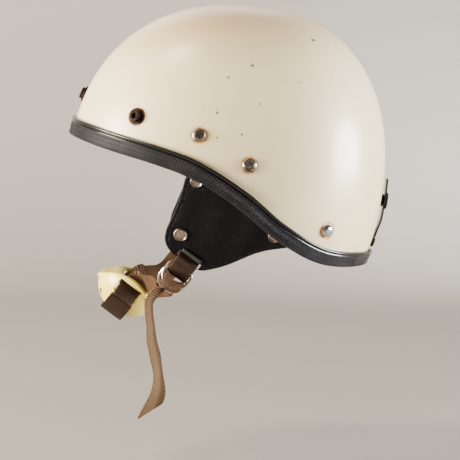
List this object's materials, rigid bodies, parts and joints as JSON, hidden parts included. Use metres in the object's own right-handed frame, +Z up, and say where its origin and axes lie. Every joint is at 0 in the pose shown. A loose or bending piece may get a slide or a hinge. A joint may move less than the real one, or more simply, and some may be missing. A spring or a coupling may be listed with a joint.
{
  "type": "motorcycle helmet",
  "caption": "Half-shell motorcycle helmet with leather ear flaps, a ring-buckled chin strap, a chin cup and studs for a peak.",
  "frame": {"origin": "middle of the headband, where the head carries the helmet", "axes": "+Z up, -Y to the front, +X to the wearer's left"},
  "size_m": [0.2382, 0.2863, 0.3608],
  "materials": {
    "cream_paint": "satin cream paint, aged",
    "black_rubber": "matt, woven pattern on the trim",
    "foam": "rigid foam",
    "lining": "padded cloth",
    "band_leather": "worn leather",
    "brown_metal": "brown patina",
    "plated_steel": "worn nickel plate with rust at the edges",
    "black_leather": "soft black leather",
    "brown_leather": "smooth brown leather",
    "webbing": "ribbed webbing",
    "cup_plastic": "yellowed ivory plastic"
  },
  "bodies": {
    "helmet": {"outer_shell": "cream_paint", "edge_trim": "black_rubber", "impact_liner": "foam", "crown_pad": "lining", "sweat_band": "band_leather", "brow_pad": "lining", "nape_pad": "lining", "front_visor_stud": "brown_metal", "left_visor_stud": "brown_metal", "right_visor_stud": "brown_metal", "left_liner_screw": "plated_steel", "right_liner_screw": "plated_steel", "left_strap_rivet": "plated_steel", "right_strap_rivet": "plated_steel", "left_nape_rivet": "plated_steel", "right_nape_rivet": "plated_steel", "goggle_snap_stud": "brown_metal", "goggle_strap_rivet": "brown_metal", "goggle_strap_clip": "brown_metal", "front_visor_stud_washer": "plated_steel", "left_visor_stud_washer": "plated_steel", "right_visor_stud_washer": "plated_steel", "left_liner_screw_washer": "plated_steel", "right_liner_screw_washer": "plated_steel", "left_strap_rivet_washer": "plated_steel", "right_strap_rivet_washer": "plated_steel", "left_nape_rivet_washer": "plated_steel", "right_nape_rivet_washer": "plated_steel", "goggle_snap_stud_washer": "plated_steel", "goggle_strap_rivet_washer": "plated_steel"},
    "chin_harness": {"left_ear_flap": "black_leather", "left_front_snap": "plated_steel", "left_rear_snap": "plated_steel", "left_cheek_button": "plated_steel", "left_strap_keeper": "black_rubber", "right_ear_flap": "black_leather", "right_front_snap": "plated_steel", "right_rear_snap": "plated_steel", "right_cheek_button": "plated_steel", "right_strap_keeper": "black_rubber", "left_anchor_strap": "brown_leather", "chin_strap": "webbing", "cup_sleeve": "brown_leather"},
    "inner_ring": {"inner_d_ring": "plated_steel"},
    "outer_ring": {"outer_d_ring": "plated_steel"},
    "tail": {"strap_tail": "webbing"},
    "cup": {"chin_cup": "cup_plastic", "chin_cup_pad": "lining"},
    "goggle_keeper": {"goggle_strap": "black_leather", "goggle_snap_cap": "brown_metal"}
  },
  "joints": [
    {"name": "harness_swing", "type": "hinge", "parent": "helmet", "child": "chin_harness", "pos_m": [0, 0.0155, -0.0253], "axis": [1, 0, 0], "range_deg": [-5, 5]},
    {"name": "inner_ring_tilt", "type": "hinge", "parent": "chin_harness", "child": "inner_ring", "pos_m": [0.07392, -0.0421, -0.11648], "axis": [-0.0799, 0.7974, -0.5981], "range_deg": [-3, 3]},
    {"name": "outer_ring_tilt", "type": "hinge", "parent": "chin_harness", "child": "outer_ring", "pos_m": [0.07154, -0.0462, -0.12163], "axis": [-0.0799, 0.7974, -0.5981], "range_deg": [-2, 2]},
    {"name": "tail_swing", "type": "hinge", "parent": "chin_harness", "child": "tail", "pos_m": [0.0785, -0.06085, -0.13238], "axis": [0.6904, -0.6203, 0.3723], "range_deg": [-10, 10]},
    {"name": "cup_slide", "type": "hinge", "parent": "chin_harness", "child": "cup", "pos_m": [0, -0.085, -0.1329], "axis": [0, 0.8, -0.6], "range_deg": [-3, 3]},
    {"name": "goggle_keeper_fold", "type": "hinge", "parent": "helmet", "child": "goggle_keeper", "pos_m": [0, 0.1294, -0.0956], "axis": [-1, 0, 0], "range_deg": [0, 90]}
  ]
}
